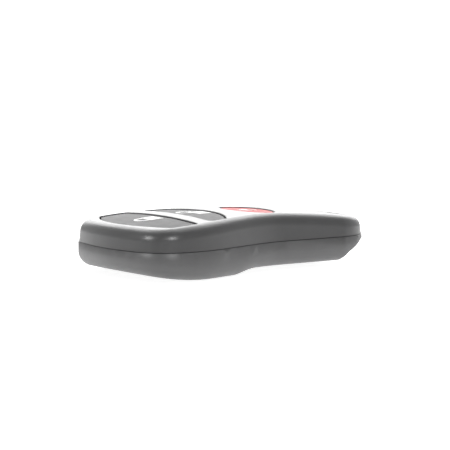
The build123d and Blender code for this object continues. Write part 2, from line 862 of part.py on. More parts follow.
def chip_resistors():
    """The small resistors beside the capacitors and the panic switch."""
    places = [(x, side * far_row) for x in (lock_x, unlock_x) for side in (-1, 1)]
    places += [(panic_x, side * near_row) for side in (-1, 1)]
    return group([board_part(resistor_size, x, y) for x, y in places])


nodes = {
    "top_shell": top_shell(),
    "bottom_shell": bottom_shell(),
    "case_screw": case_screw(),
    "keypad_mat": keypad_mat(),
    "circuit_board": circuit_board(),
    "antenna_loop": antenna_loop(),
    "battery_can": cell_can(),
    "battery_gasket": cell_gasket(),
    "battery_cap": cell_cap(),
    "positive_contact": positive_contact(),
    "negative_contact": negative_contact(),
    "control_chip": board_part(chip_size, chip_x, 0),
    "control_chip_legs": chip_legs(chip_x),
    "crystal": board_part(crystal_size, chip_x, chip_side + crystal_size[1] / 2),
    "resonator": board_part(resonator_size, chip_x, -chip_side - resonator_size[1] / 2),
    "transistor": board_part(transistor_size, gap_x, transistor_size[1]),
    "tuning_coil": board_part(coil_size, gap_x, -coil_size[1]),
    "capacitors": chip_capacitors(),
    "resistors": chip_resistors(),
}
for name, (outline, place) in buttons.items():
    nodes[name + "_button"] = button(name)
    nodes[name + "_symbol"] = symbol(name)
    nodes[name + "_dome"] = dome(place)
    nodes[name + "_switch_base"] = switch_base(place)
    nodes[name + "_switch_cover"] = switch_cover(place)
    nodes[name + "_switch_plunger"] = switch_plunger(place)
    nodes[name + "_switch_disc"] = switch_disc(place)
    nodes[name + "_switch_legs"] = switch_legs(place)

os.makedirs("parts", exist_ok=True)
for name, shape in nodes.items():
    export_step(Pos(-length / 2, 0, 0) * shape, "parts/" + name + ".step")
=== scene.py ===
import json
import math

import bpy
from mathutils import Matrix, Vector

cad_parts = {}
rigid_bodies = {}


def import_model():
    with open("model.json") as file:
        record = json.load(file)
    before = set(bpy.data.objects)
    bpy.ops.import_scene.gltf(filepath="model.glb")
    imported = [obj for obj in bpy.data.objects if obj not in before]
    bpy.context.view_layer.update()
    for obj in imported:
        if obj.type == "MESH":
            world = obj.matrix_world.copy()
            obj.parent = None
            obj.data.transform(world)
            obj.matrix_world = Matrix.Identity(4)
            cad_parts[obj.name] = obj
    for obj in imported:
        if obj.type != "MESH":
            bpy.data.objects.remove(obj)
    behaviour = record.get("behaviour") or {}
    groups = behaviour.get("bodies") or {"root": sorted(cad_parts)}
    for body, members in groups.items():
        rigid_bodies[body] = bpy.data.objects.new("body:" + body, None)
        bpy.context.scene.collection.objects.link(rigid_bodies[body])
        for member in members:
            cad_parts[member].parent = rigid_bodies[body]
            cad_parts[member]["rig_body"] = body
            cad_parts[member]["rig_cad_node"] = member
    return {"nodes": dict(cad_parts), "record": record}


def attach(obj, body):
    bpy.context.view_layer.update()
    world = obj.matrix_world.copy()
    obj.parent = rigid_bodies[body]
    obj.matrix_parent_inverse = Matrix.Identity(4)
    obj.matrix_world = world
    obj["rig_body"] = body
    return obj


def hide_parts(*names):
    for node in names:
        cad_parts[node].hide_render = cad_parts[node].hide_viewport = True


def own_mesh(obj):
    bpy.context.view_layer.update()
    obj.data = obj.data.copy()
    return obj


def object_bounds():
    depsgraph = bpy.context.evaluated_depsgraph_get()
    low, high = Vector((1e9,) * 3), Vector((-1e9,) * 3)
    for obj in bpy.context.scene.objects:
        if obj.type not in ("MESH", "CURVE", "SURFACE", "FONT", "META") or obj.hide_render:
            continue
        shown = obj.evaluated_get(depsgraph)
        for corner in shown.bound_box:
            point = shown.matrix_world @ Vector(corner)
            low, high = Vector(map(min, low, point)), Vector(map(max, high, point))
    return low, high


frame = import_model()
cadLow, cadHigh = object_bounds()
nodes = frame["nodes"]
mm = 0.001
print("frame loaded:", len(nodes), "nodes")

keyNames = ["lock", "unlock", "panic"]


# Small helpers for working in the scene

def deselectAll():
    if bpy.context.mode != "OBJECT":
        bpy.ops.object.mode_set(mode="OBJECT")
    bpy.ops.object.select_all(action="DESELECT")


def pickOnly(piece):
    deselectAll()
    piece.select_set(True)
    bpy.context.view_layer.objects.active = piece


def applyPlace(piece):
    pickOnly(piece)
    bpy.ops.object.transform_apply(location=True, rotation=True, scale=True)


def boxOf(piece):
    corners = [piece.matrix_world @ Vector(corner) for corner in piece.bound_box]
    low = Vector([min(corner[axis] for corner in corners) for axis in range(3)])
    high = Vector([max(corner[axis] for corner in corners) for axis in range(3)])
    return low, high


def finishPiece(piece, body, material, replaced=()):
    piece.data.materials.clear()
    piece.data.materials.append(material)
    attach(piece, body)
    if replaced:
        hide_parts(*replaced)
    return piece


# Materials

def newMaterial(name, settings):
    material = bpy.data.materials.new(name)
    material.use_nodes = True
    shader = material.node_tree.nodes["Principled BSDF"]
    shader.inputs["Metallic"].default_value = settings.get("metallic", 0.0)
    shader.inputs["Specular IOR Level"].default_value = settings.get("specular", 0.5)
    shader.inputs["Coat Weight"].default_value = settings.get("coat", 0.0)
    shader.inputs["Coat Roughness"].default_value = settings.get("coatRoughness", 0.03)
    return material, material.node_tree, shader


# detail and roughness of each kind of noise
noiseKinds = {
    "cloud": (4.0, 0.5), "gloss": (5.0, 0.6), "flow": (2.0, 0.4), "grain": (2.0, 0.7), "brush": (4.0, 0.6),
}
glossFiner = 2.3  # how much finer the gloss varies than the colour


def addNoise(tree, place, scale, kind, stretch=None):
    noise = tree.nodes.new("ShaderNodeTexNoise")
    detail, roughness = noiseKinds[kind]
    noise.inputs["Scale"].default_value = scale
    noise.inputs["Detail"].default_value = detail
    noise.inputs["Roughness"].default_value = roughness
    source = place
    if stretch:
        mapping = tree.nodes.new("ShaderNodeMapping")
        mapping.inputs["Scale"].default_value = stretch
        tree.links.new(place, mapping.inputs["Vector"])
        source = mapping.outputs["Vector"]
    tree.links.new(source, noise.inputs["Vector"])
    return noise.outputs["Fac"]


def spread(tree, value, low, high, fromLow=0.3, fromHigh=0.7):
    mapRange = tree.nodes.new("ShaderNodeMapRange")
    mapRange.inputs["From Min"].default_value = fromLow
    mapRange.inputs["From Max"].default_value = fromHigh
    mapRange.inputs["To Min"].default_value = low
    mapRange.inputs["To Max"].default_value = high
    tree.links.new(value, mapRange.inputs["Value"])
    return mapRange.outputs["Result"]


def mixColours(tree, value, first, second):
    mix = tree.nodes.new("ShaderNodeMix")
    mix.data_type = "RGBA"
    mix.inputs["A"].default_value = (*first, 1)
    mix.inputs["B"].default_value = (*second, 1)
    tree.links.new(value, mix.inputs["Factor"])
    return mix.outputs["Result"]


def mixValues(tree, factor, first, second):
    mix = tree.nodes.new("ShaderNodeMix")
    tree.links.new(factor, mix.inputs["Factor"])
    for source, socket in ((first, mix.inputs["A"]), (second, mix.inputs["B"])):
        if isinstance(source, float):
            socket.default_value = source
        else:
            tree.links.new(source, socket)
    return mix.outputs["Result"]


def addBump(tree, value, depth, normal=None):
    bump = tree.nodes.new("ShaderNodeBump")
    bump.inputs["Distance"].default_value = depth
    tree.links.new(value, bump.inputs["Height"])
    if normal:
        tree.links.new(normal, bump.inputs["Normal"])
    return bump.outputs["Normal"]


def objectPlace(tree):
    return tree.nodes.new("ShaderNodeTexCoord").outputs["Object"]


def mouldedFinish(name, settings):
    # spark-eroded grain, soft flow marks and a slightly uneven gloss
    material, tree, shader = newMaterial(name, settings)
    place = objectPlace(tree)
    cloud = addNoise(tree, place, settings["cloudScale"], "cloud")
    colour = mixColours(tree, spread(tree, cloud, 0, 1), settings["dark"], settings["light"])
    tree.links.new(colour, shader.inputs["Base Color"])
    gloss = addNoise(tree, place, settings["cloudScale"] * glossFiner, "gloss")
    tree.links.new(spread(tree, gloss, *settings["roughness"]), shader.inputs["Roughness"])
    flow = addNoise(tree, place, settings["flowScale"], "flow", settings.get("flowStretch"))
    grain = addNoise(tree, place, settings["grainScale"], "grain")
    normal = addBump(tree, flow, settings["flowDepth"])
    normal = addBump(tree, grain, settings["grainDepth"], normal)
    tree.links.new(normal, shader.inputs["Normal"])
    return material


def metalFinish(name, settings):
    # rolled or drawn metal with fine scratches one way
    material, tree, shader = newMaterial(name, dict(settings, metallic=1.0))
    place = objectPlace(tree)
    brush = addNoise(tree, place, settings["brushScale"], "brush", settings["brushStretch"])
    colour = mixColours(tree, spread(tree, brush, 0, 1), settings["dark"], settings["light"])
    tree.links.new(colour, shader.inputs["Base Color"])
    tree.links.new(spread(tree, brush, *settings["roughness"]), shader.inputs["Roughness"])
    tree.links.new(addBump(tree, brush, settings["brushDepth"]), shader.inputs["Normal"])
    return material


upperCaseLook = {
    "dark": (0.065, 0.065, 0.066), "light": (0.071, 0.071, 0.072), "roughness": (0.34, 0.40),
    "cloudScale": 260.0, "flowScale": 90.0, "flowDepth": 0.012 * mm,
    "grainScale": 9000.0, "grainDepth": 0.006 * mm,
}
lowerCaseLook = {
    "dark": (0.101, 0.101, 0.102), "light": (0.109, 0.109, 0.110), "roughness": (0.44, 0.50),
    "cloudScale": 240.0, "flowScale": 80.0, "flowDepth": 0.012 * mm,
    "grainScale": 8000.0, "grainDepth": 0.008 * mm,
}
keyRubberLook = {
    "dark": (0.091, 0.091, 0.092), "light": (0.100, 0.100, 0.101), "roughness": (0.62, 0.70),
    "specular": 0.4,
    "cloudScale": 320.0, "flowScale": 120.0, "flowDepth": 0.006 * mm,
    "grainScale": 7000.0, "grainDepth": 0.01 * mm,
}
redRubberLook = {
    "dark": (0.50, 0.016, 0.018), "light": (0.60, 0.026, 0.026), "roughness": (0.55, 0.65),
    "specular": 0.4,
    "cloudScale": 320.0, "flowScale": 120.0, "flowDepth": 0.01 * mm,
    "grainScale": 7000.0, "grainDepth": 0.01 * mm,
}
printLook = {
    "dark": (0.80, 0.80, 0.79), "light": (0.87, 0.87, 0.86), "roughness": (0.42, 0.55),
    "cloudScale": 900.0, "flowScale": 1500.0, "flowDepth": 0.004 * mm,
    "grainScale": 12000.0, "grainDepth": 0.003 * mm,
}
matRubberLook = {
    "dark": (0.075, 0.075, 0.08), "light": (0.095, 0.095, 0.10), "roughness": (0.6, 0.75),
    "specular": 0.4,
    "cloudScale": 280.0, "flowScale": 110.0, "flowDepth": 0.02 * mm,
    "grainScale": 6000.0, "grainDepth": 0.01 * mm,
}
gasketLook = dict(matRubberLook, dark=(0.05, 0.05, 0.055), light=(0.065, 0.065, 0.07))
chipLook = {
    "dark": (0.018, 0.018, 0.02), "light": (0.03, 0.03, 0.032), "roughness": (0.5, 0.65),
    "cloudScale": 700.0, "flowScale": 300.0, "flowDepth": 0.004 * mm,
    "grainScale": 14000.0, "grainDepth": 0.008 * mm,
}
switchBodyLook = dict(chipLook, dark=(0.035, 0.035, 0.037), light=(0.05, 0.05, 0.052), roughness=(0.4, 0.5))
plungerLook = dict(printLook, dark=(0.62, 0.61, 0.57), light=(0.70, 0.69, 0.65), roughness=(0.3, 0.4))
capacitorLook = dict(chipLook, dark=(0.42, 0.30, 0.18), light=(0.52, 0.39, 0.25), roughness=(0.4, 0.55))
resistorLook = dict(chipLook, dark=(0.02, 0.02, 0.025), light=(0.035, 0.035, 0.04), roughness=(0.25, 0.35))
boardLook = {
    "dark": (0.012, 0.10, 0.04), "light": (0.02, 0.15, 0.06), "roughness": (0.3, 0.4),
    "coat": 0.3, "coatRoughness": 0.1,
    "cloudScale": 400.0, "flowScale": 1800.0, "flowDepth": 0.01 * mm, "flowStretch": (1, 3, 1),
    "grainScale": 9000.0, "grainDepth": 0.004 * mm,
}
# tracks under the green mask are a little lighter than the bare board
trackLook = dict(boardLook, dark=(0.03, 0.24, 0.10), light=(0.045, 0.30, 0.13))
steelLook = {
    "dark": (0.50, 0.50, 0.48), "light": (0.66, 0.66, 0.63), "roughness": (0.25, 0.4),
    "brushScale": 900.0, "brushStretch": (1, 14, 1), "brushDepth": 0.002 * mm,
}
cellLook = dict(
    steelLook, dark=(0.58, 0.58, 0.56), light=(0.70, 0.70, 0.67), brushStretch=(1, 1, 1), brushScale=2500.0
)
tinLook = dict(steelLook, dark=(0.62, 0.62, 0.60), light=(0.74, 0.74, 0.72), roughness=(0.2, 0.35))
copperLook = dict(steelLook, dark=(0.55, 0.30, 0.12), light=(0.72, 0.45, 0.20), roughness=(0.3, 0.45))
blackScrewLook = {
    "dark": (0.035, 0.035, 0.037), "light": (0.07, 0.07, 0.072), "roughness": (0.32, 0.5),
    "brushScale": 1500.0, "brushStretch": (1, 1, 4), "brushDepth": 0.003 * mm,
}

finishes = {
    "case_upper": mouldedFinish("satin_upper_case", upperCaseLook),
    "case_lower": mouldedFinish("satin_lower_case", lowerCaseLook),
    "button_rubber": mouldedFinish("grey_key_rubber", keyRubberLook),
    "panic_rubber": mouldedFinish("red_key_rubber", redRubberLook),
    "symbol_ink": mouldedFinish("white_pad_print", printLook),
    "screw": metalFinish("blackened_screw", blackScrewLook),
    "mat": mouldedFinish("keypad_mat_rubber", matRubberLook),
    "board": mouldedFinish("green_solder_mask", boardLook),
    "masked_track": mouldedFinish("masked_track", trackLook),
    "copper": metalFinish("plated_copper_track", copperLook),
    "cell": metalFinish("nickelled_cell", cellLook),
    "gasket": mouldedFinish("cell_sealing_ring", gasketLook),
    "spring_steel": metalFinish("bright_spring_steel", steelLook),
    "chip": mouldedFinish("moulded_chip", chipLook),
    "leads": metalFinish("tinned_leads", tinLook),
    "metal_can": metalFinish("bright_metal_can", cellLook),
    "coil": metalFinish("wound_copper", dict(copperLook, brushStretch=(1, 1, 9))),
    "capacitor": mouldedFinish("fired_ceramic", capacitorLook),
    "resistor": mouldedFinish("glazed_resistor", resistorLook),
    "switch_body": mouldedFinish("switch_housing", switchBodyLook),
    "plunger": mouldedFinish("ivory_plunger", plungerLook),
}
print("finishes made:", len(finishes))

slotOf = {entry["node"]: entry["material_slot"] for entry in frame["record"]["subparts"]}
bodyOf = {}
for bodyName, members in frame["record"]["behaviour"]["bodies"].items():
    for member in members:
        bodyOf[member] = bodyName
for nodeName, node in nodes.items():
    node.data.materials.clear()
    node.data.materials.append(finishes[slotOf[nodeName]])


# Outside pieces: welded from the construction, with smooth shading

outside = {
    "weld": 0.0005 * mm,
    "smoothAngle": 28.0,
    # on the lower shell only the underside and the hollow under the tail get the fine grid
    "levelFace": 0.94, "hollowX": 17.0 * mm, "hollowFace": 0.3,
    "names": {
        "top_shell": "upper_case", "bottom_shell": "lower_case", "case_screw": "back_screw",
        "lock_button": "lock_key", "unlock_button": "unlock_key", "panic_button": "panic_key",
        "lock_symbol": "lock_print", "unlock_symbol": "unlock_print", "panic_symbol": "panic_print",
    },
}
crown = {
    # the roof is part of a ball, from its top down to the tail end; keys and prints lie sunk in it
    "apexX": -4.288 * mm, "tailX": 32.0 * mm, "topZ": 12.6 * mm, "tailDrop": 3.0 * mm,
    "sunk": {"case": 0.0, "key": 0.22 * mm, "print": 0.19 * mm},
    "gridStep": 1.2 * mm, "sag": 0.014 * mm,  # a new point within the sag is put on the ball
    "touch": 0.002 * mm, "turn": 40.0,  # a corner so near to the ball takes its shading from it
}
crownRadius = ((crown["tailX"] - crown["apexX"]) ** 2 + crown["tailDrop"] ** 2) / (2 * crown["tailDrop"])
crownCentre = Vector((crown["apexX"], 0, crown["topZ"] - crownRadius))


def plainCopy(nodeName, newName):
    pickOnly(nodes[nodeName])
    bpy.ops.object.duplicate()
    piece = bpy.context.active_object
    bpy.ops.object.parent_clear(type="CLEAR_KEEP_TRANSFORM")
    piece.name = newName
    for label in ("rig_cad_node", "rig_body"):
        del piece[label]
    return piece


def weld():
    bpy.ops.object.mode_set(mode="EDIT")
    bpy.ops.mesh.select_all(action="SELECT")
    bpy.ops.mesh.remove_doubles(threshold=outside["weld"])
    bpy.ops.object.mode_set(mode="OBJECT")


def smoothShading(piece):
    bpy.ops.object.shade_smooth_by_angle(angle=math.radians(outside["smoothAngle"]))
    even = piece.modifiers.new("even_shading", "WEIGHTED_NORMAL")
    even.keep_sharp = True
    bpy.ops.object.modifier_apply(modifier=even.name)


def hideSides(piece):
    # the sides keep their own triangles, which follow the curve of the outline
    bpy.ops.object.mode_set(mode="EDIT")
    bpy.ops.mesh.select_mode(type="FACE")
    bpy.ops.mesh.select_all(action="DESELECT")
    bpy.ops.object.mode_set(mode="OBJECT")
    for polygon in piece.data.polygons:
        hollow = polygon.center.x > outside["hollowX"]
        steepest = outside["hollowFace"] if hollow else outside["levelFace"]
        polygon.select = polygon.normal.z > -steepest
    bpy.ops.object.mode_set(mode="EDIT")
    bpy.ops.mesh.hide(unselected=False)
    bpy.ops.mesh.select_mode(type="VERT")
    bpy.ops.object.mode_set(mode="OBJECT")


def fineGrid(piece):
    # long thin triangles from edge to edge are cut up, so that their shading stays even
    low, high = boxOf(piece)
    bpy.ops.object.mode_set(mode="EDIT")
    for axis in (0, 1):
        normal = [0.0, 0.0, 0.0]
        normal[axis] = 1.0
        strips = int((high[axis] - low[axis]) / crown["gridStep"]) + 1
        for index in range(1, strips):
            place = [0.0, 0.0, 0.0]
            place[axis] = low[axis] + (high[axis] - low[axis]) * index / strips
            bpy.ops.mesh.select_all(action="SELECT")
            bpy.ops.mesh.bisect(plane_co=place, plane_no=normal)
    bpy.ops.mesh.reveal(select=False)
    bpy.ops.object.mode_set(mode="OBJECT")


def ontoCrown(piece, sunk):
    radius = crownRadius - sunk
    for vertex in piece.data.vertices:
        outward = vertex.co - crownCentre
        if abs(outward.length - radius) < crown["sag"]:
            vertex.co = crownCentre + outward.normalized() * radius


def crownShading(piece, sunk):
    # the shading of the crown comes from the ball that it is part of
    mesh = piece.data
    nearEnough = math.cos(math.radians(crown["turn"]))
    radius = crownRadius - sunk
    onBall = [abs((vertex.co - crownCentre).length - radius) < crown["touch"] for vertex in mesh.vertices]
    normals = [corner.vector.copy() for corner in mesh.corner_normals]
    for polygon in mesh.polygons:
        whollyOn = all(onBall[index] for index in polygon.vertices)
        for loopIndex in polygon.loop_indices:
            vertexIndex = mesh.loops[loopIndex].vertex_index
            outward = (mesh.vertices[vertexIndex].co - crownCentre).normalized()
            if onBall[vertexIndex] and (whollyOn or normals[loopIndex].dot(outward) > nearEnough):
                normals[loopIndex] = outward
    mesh.normals_split_custom_set(normals)


def outsidePiece(nodeName, newName):
    kind = newName.split("_")[-1]
    crowned = kind in crown["sunk"] and newName != "lower_case"
    piece = plainCopy(nodeName, newName)
    weld()
    if newName == "lower_case":
        hideSides(piece)
        fineGrid(piece)
    elif kind in ("key", "print"):
        fineGrid(piece)
        ontoCrown(piece, crown["sunk"][kind])
    smoothShading(piece)
    if crowned:
        crownShading(piece, crown["sunk"][kind])
    finishPiece(piece, bodyOf[nodeName], finishes[slotOf[nodeName]], [nodeName])
    print("outside piece:", newName, len(piece.data.polygons), "faces")


for nodeName, newName in outside["names"].items():
    outsidePiece(nodeName, newName)


# Soft pieces: welded copies of the domes and snap discs, smooth shaded, on the case


def softPiece(nodeName, newName):
    piece = plainCopy(nodeName, newName)
    weld()
    bpy.ops.object.shade_smooth_by_angle(angle=math.radians(outside["smoothAngle"]))
    finishPiece(piece, "case", finishes[slotOf[nodeName]], [nodeName])
    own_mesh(piece)


for keyName in keyNames:
    softPiece(keyName + "_dome", keyName + "_soft_dome")
    softPiece(keyName + "_switch_disc", keyName + "_snap_disc")
print("soft domes and snap discs made")


# Inner pieces: small detail that the construction leaves out

roundness = {
    "beadSegments": 20, "beadRings": 12, "discSides": 28, "holeSides": 16,
    "ringSegments": 72, "ringSides": 12, "easedFrom": 35.0,
}


def looseBoxes(nodeName):
    # the boxes round the separate solids of one node, found on a copy
    plainCopy(nodeName, nodeName + "_copy")
    weld()
    bpy.ops.mesh.separate(type="LOOSE")
    boxes = [boxOf(part) for part in bpy.context.selected_objects]
    bpy.ops.object.delete()
    return sorted(boxes, key=lambda box: (round(box[0].x, 5), round(box[0].y, 5)))


def block(low, high):
    deselectAll()
    bpy.ops.mesh.primitive_cube_add(size=1, location=(Vector(low) + Vector(high)) / 2)
    piece = bpy.context.active_object
    piece.scale = Vector(high) - Vector(low)
    return piece


def bead(place, reach):
    deselectAll()
    bpy.ops.mesh.primitive_uv_sphere_add(
        segments=roundness["beadSegments"], ring_count=roundness["beadRings"], radius=1, location=place
    )
    piece = bpy.context.active_object
    piece.scale = reach
    bpy.ops.object.shade_smooth()
    return piece


def disc(place, radius, height, sides=roundness["discSides"]):
    deselectAll()
    bpy.ops.mesh.primitive_cylinder_add(vertices=sides, radius=radius, depth=height, location=place)
    return bpy.context.active_object


def ring(place, radius, thickness, flatness=1.0):
    deselectAll()
    bpy.ops.mesh.primitive_torus_add(
        major_radius=radius, minor_radius=thickness, location=place,
        major_segments=roundness["ringSegments"], minor_segments=roundness["ringSides"],
    )
    piece = bpy.context.active_object
    piece.scale.z = flatness
    bpy.ops.object.shade_smooth()
    return piece


def joined(parts, name):
    deselectAll()
    for part in parts:
        part.select_set(True)
    bpy.context.view_layer.objects.active = parts[0]
    if len(parts) > 1:
        bpy.ops.object.join()
    piece = bpy.context.active_object
    piece.name = name
    applyPlace(piece)
    return piece


def eased(piece, width, segments=2):
    applyPlace(piece)
    bevel = piece.modifiers.new("eased_edges", "BEVEL")
    bevel.width = width
    bevel.segments = segments
    bevel.limit_method = "ANGLE"
    bevel.angle_limit = math.radians(roundness["easedFrom"])
    bpy.ops.object.modifier_apply(modifier=bevel.name)
    bpy.ops.object.shade_smooth_by_angle(angle=math.radians(outside["smoothAngle"]))
    return piece


def cutBy(piece, cutter):
    applyPlace(piece)
    cut = piece.modifiers.new("cut", "BOOLEAN")
    cut.operation = "DIFFERENCE"
    cut.object = cutter
    bpy.ops.object.modifier_apply(modifier=cut.name)
    pickOnly(cutter)
    bpy.ops.object.delete()
    return piece


boardTop = boxOf(nodes["circuit_board"])[1].z
boardUnder = boxOf(nodes["circuit_board"])[0].z

chipEnds = {
    "capLength": 0.36 * mm, "over": 0.02 * mm, "easing": 0.04 * mm,
    "padReach": 0.42 * mm, "padSide": 0.12 * mm, "padHeight": 0.04 * mm,
    "solder": (0.34 * mm, 0.40 * mm, 0.26 * mm), "solderOut": 0.06 * mm,
}


def endCaps(nodeName, newName):
    # the tinned ends of small ceramic parts, each on its pad with its solder
    caps = []
    pads = []
    over = chipEnds["over"]
    for low, high in looseBoxes(nodeName):
        middle = (low + high) / 2
        for side, end in ((-1, low.x), (1, high.x)):
            inner = end - side * chipEnds["capLength"]
            outer = end + side * over
            cap = block(
                (min(inner, outer), low.y - over, boardTop),
                (max(inner, outer), high.y + over, high.z + over),
            )
            caps.append(eased(cap, chipEnds["easing"]))
            far = end + side * chipEnds["padReach"]
            padY = chipEnds["padSide"]
            pads.append(block(
                (min(inner, far), low.y - padY, boardTop),
                (max(inner, far), high.y + padY, boardTop + chipEnds["padHeight"]),
            ))
            place = (end + side * chipEnds["solderOut"], middle.y, boardTop + chipEnds["padHeight"])
            pads.append(bead(place, chipEnds["solder"]))
    finishPiece(joined(caps, newName), "case", finishes["leads"])
    finishPiece(joined(pads, newName + "_solder"), "case", finishes["leads"])


endCaps("capacitors", "capacitor_ends")
endCaps("resistors", "resistor_ends")
print("small part ends made")

wing = {"shoulder": 0.18 * mm, "metal": 0.13 * mm, "rise": 0.52 * mm, "reach": 0.62 * mm}


def gullLeg(lowX, highX, bodyY, side):
    # one bent leg, from the side of a moulded body down to the board
    steps = (
        (0.0, wing["shoulder"] + wing["metal"], wing["rise"] - wing["metal"], wing["rise"]),
        (wing["shoulder"], wing["shoulder"] + wing["metal"], 0.0, wing["rise"]),
        (wing["shoulder"], wing["reach"], 0.0, wing["metal"]),
    )
    parts = []
    for near, far, low, high in steps:
        first = bodyY + side * near
        last = bodyY + side * far
        parts.append(block(
            (lowX, min(first, last), boardTop + low), (highX, max(first, last), boardTop + high)
        ))
    return parts


def controlChip():
    chip = {"easing": 0.14 * mm, "dimple": 0.34 * mm, "dimpleIn": 0.75 * mm, "dimpleDepth": 0.08 * mm}
    low, high = boxOf(nodes["control_chip"])
    body = eased(block(low, high), chip["easing"], 1)
    mark = Vector((low.x + chip["dimpleIn"], low.y + chip["dimpleIn"], high.z))
    body = cutBy(body, disc(mark, chip["dimple"], 2 * chip["dimpleDepth"]))
    body.name = "chip_body"
    finishPiece(body, "case", finishes["chip"], ["control_chip"])
    legs = []
    for legLow, legHigh in looseBoxes("control_chip_legs"):
        side = 1 if legLow.y > 0 else -1
        legs += gullLeg(legLow.x, legHigh.x, high.y if side > 0 else low.y, side)
    finishPiece(joined(legs, "chip_legs"), "case", finishes["leads"], ["control_chip_legs"])


def smallTransistor():
    amp = {"easing": 0.1 * mm, "legWidth": 0.4 * mm, "legApart": 0.95 * mm}
    low, high = boxOf(nodes["transistor"])
    body = eased(block(low, high), amp["easing"], 1)
    body.name = "transistor_body"
    finishPiece(body, "case", finishes["chip"], ["transistor"])
    middle = (low.x + high.x) / 2
    legs = []
    for offset, side in ((-amp["legApart"], -1), (amp["legApart"], -1), (0.0, 1)):
        lowX = middle + offset - amp["legWidth"] / 2
        legs += gullLeg(lowX, lowX + amp["legWidth"], high.y if side > 0 else low.y, side)
    finishPiece(joined(legs, "transistor_legs"), "case", finishes["leads"])


def metalCan(nodeName, newName):
    # a drawn lid with rounded edges, standing on its flange
    can = {
        "flange": 0.14 * mm, "flangeHeight": 0.14 * mm, "flangeEasing": 1 / 3,
        "rounding": 0.22 * mm, "roundingSteps": 4,
    }
    low, high = boxOf(nodes[nodeName])
    lid = eased(block(low, high), can["rounding"], can["roundingSteps"])
    flange = block(
        (low.x - can["flange"], low.y - can["flange"], boardTop),
        (high.x + can["flange"], high.y + can["flange"], boardTop + can["flangeHeight"]),
    )
    flange = eased(flange, can["flangeHeight"] * can["flangeEasing"])
    piece = joined([lid, flange], newName)
    finishPiece(piece, "case", finishes["metal_can"], [nodeName])


def woundCoil():
    coil = {
        "turns": 9, "wire": 0.07 * mm, "easing": 1 / 3, "easingSteps": 3,
        "endLength": 0.26 * mm, "endOver": 0.1 * mm,
    }
    low, high = boxOf(nodes["tuning_coil"])
    span = high.y - low.y - 2 * coil["endLength"]
    pitch = span / coil["turns"]
    turns = []
    for index in range(coil["turns"]):
        startY = low.y + coil["endLength"] + index * pitch
        turn = block(
            (low.x - coil["wire"], startY, boardTop + coil["wire"]),
            (high.x + coil["wire"], startY + pitch, high.z + coil["wire"]),
        )
        turns.append(eased(turn, pitch * coil["easing"], coil["easingSteps"]))
    finishPiece(joined(turns, "coil_turns"), "case", finishes["coil"])
    ends = []
    for startY in (low.y, high.y - coil["endLength"]):
        end = block(
            (low.x - coil["endOver"], startY, boardTop),
            (high.x + coil["endOver"], startY + coil["endLength"], high.z + coil["endOver"]),
        )
        ends.append(eased(end, coil["endOver"] / 2))
    finishPiece(joined(ends, "coil_ends"), "case", finishes["chip"])


controlChip()
smallTransistor()
metalCan("crystal", "crystal_can")
metalCan("resonator", "resonator_can")
woundCoil()
print("chip, transistor, cans and coil made")


def switchRivets(keyName):
    # the four melted pins that hold a switch's cover
    rivet = {"inset": 0.58 * mm, "radius": 0.3 * mm, "height": 0.11 * mm}
    low, high = boxOf(nodes[keyName + "_switch_base"])
    top = boxOf(nodes[keyName + "_switch_cover"])[1].z
    places = [(x, y, top) for x in (low.x + rivet["inset"], high.x - rivet["inset"])
              for y in (low.y + rivet["inset"], high.y - rivet["inset"])]
    rivets = [bead(place, (rivet["radius"], rivet["radius"], rivet["height"])) for place in places]
    finishPiece(joined(rivets, keyName + "_switch_rivets"), "case", finishes["switch_body"])


def switchSolder(keyName):
    foot = {"over": 0.14 * mm, "height": 0.11 * mm, "padHeight": 0.03 * mm}
    low, high = boxOf(nodes[keyName + "_switch_base"])
    parts = []
    for legLow, legHigh in looseBoxes(keyName + "_switch_legs"):
        headward = legLow.x < low.x
        nearX = legLow.x - foot["over"] if headward else high.x
        farX = low.x if headward else legHigh.x + foot["over"]
        parts.append(block(
            (nearX, legLow.y - foot["over"], boardTop),
            (farX, legHigh.y + foot["over"], boardTop + foot["padHeight"]),
        ))
        place = ((nearX + farX) / 2, (legLow.y + legHigh.y) / 2, boardTop + foot["padHeight"])
        reach = ((farX - nearX) / 2, (legHigh.y - legLow.y) / 2 + foot["over"] / 2, 2 * foot["height"])
        parts.append(bead(place, reach))
    finishPiece(joined(parts, keyName + "_switch_solder"), "case", finishes["leads"])


def domeRim(keyName):
    # a low rib on the mat round each dome
    rim = {"gap": 0.36 * mm, "thickness": 0.15 * mm, "flatness": 0.8}
    low, high = boxOf(nodes[keyName + "_dome"])
    middle = (low + high) / 2
    radius = (high.y - low.y) / 2 + rim["gap"]
    rib = ring((middle.x, middle.y, low.z), radius, rim["thickness"], rim["flatness"])
    finishPiece(joined([rib], keyName + "_dome_rim"), "case", finishes["mat"])


for keyName in keyNames:
    switchRivets(keyName)
    switchSolder(keyName)
    domeRim(keyName)
print("switch and dome detail made")


boardDetail = {
    "trackWidth": 0.24 * mm, "trackHeight": 0.025 * mm, "laneStart": 0.9 * mm, "lanePitch": 0.46 * mm,
    "viaRadius": 0.3 * mm, "viaHole": 0.13 * mm, "viaHeight": 0.05 * mm, "viaCut": 0.15 * mm,
    "testPads": 5, "testPadRadius": 0.7 * mm, "testPadPitch": 2.1 * mm, "testPadHeight": 0.04 * mm,
    "inkWidth": 0.13 * mm, "inkGap": 0.45 * mm, "inkHeight": 0.02 * mm, "inkShare": 0.2,
}


